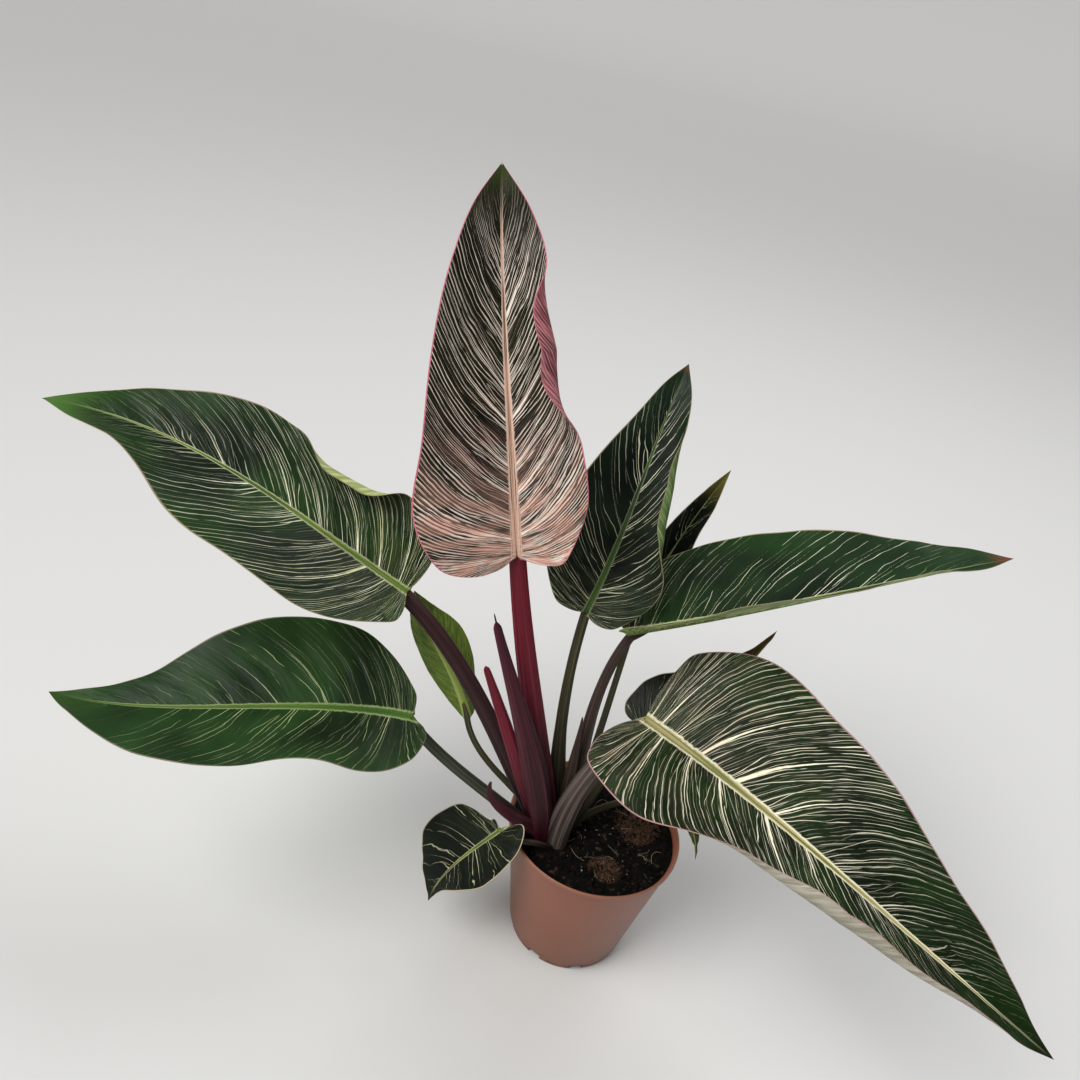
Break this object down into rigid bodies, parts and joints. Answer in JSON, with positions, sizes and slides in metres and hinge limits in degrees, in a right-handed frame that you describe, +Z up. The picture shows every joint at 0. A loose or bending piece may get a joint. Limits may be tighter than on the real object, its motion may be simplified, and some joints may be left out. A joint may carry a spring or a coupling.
{
  "type": "potted philodendron",
  "caption": "Potted pink birkin philodendron: long arching leaves with cream and pink pinstripes on channelled stalks, rolled new leaves and a thin tapered nursery pot filled with soil.",
  "frame": {"origin": "centre of the pot's flat base, on the surface that it stands on", "axes": "+Z up along the pot's axis; -Y towards the side that the picture is taken from, +X to the right there"},
  "size_m": [0.5431, 0.2458, 0.441],
  "materials": {
    "pot": "satin",
    "soil": "matte",
    "stem": "matte",
    "crimson_stalk": "satin",
    "maroon_stalk": "satin",
    "olive_stalk": "satin",
    "umber_stalk": "satin",
    "grey_stalk": "satin",
    "pink_blade": "satin",
    "green_blade": "satin",
    "pale_blade": "satin",
    "cream_blade": "satin"
  },
  "bodies": {
    "root": {"pot": "pot", "soil": "soil", "stem": "stem", "petiole_centre": "crimson_stalk", "petiole_upper_left": "maroon_stalk", "petiole_lower_left": "olive_stalk", "petiole_rim_small": "umber_stalk", "petiole_folded_left": "olive_stalk", "petiole_right_upright": "olive_stalk", "petiole_back_narrow": "olive_stalk", "petiole_right_level": "umber_stalk", "petiole_front_right": "grey_stalk", "petiole_back_right": "olive_stalk", "petiole_back_small": "olive_stalk", "spear_tall": "maroon_stalk", "spear_blunt": "crimson_stalk", "sheath_hooked": "crimson_stalk", "sheath_pointed": "umber_stalk", "blade_centre": "pink_blade", "blade_upper_left": "green_blade", "blade_lower_left": "green_blade", "blade_rim_small": "green_blade", "blade_folded_left": "pale_blade", "blade_right_upright": "green_blade", "blade_back_narrow": "green_blade", "blade_right_level": "green_blade", "blade_front_right": "cream_blade", "blade_back_right": "green_blade", "blade_back_small": "pale_blade"}
  },
  "joints": []
}
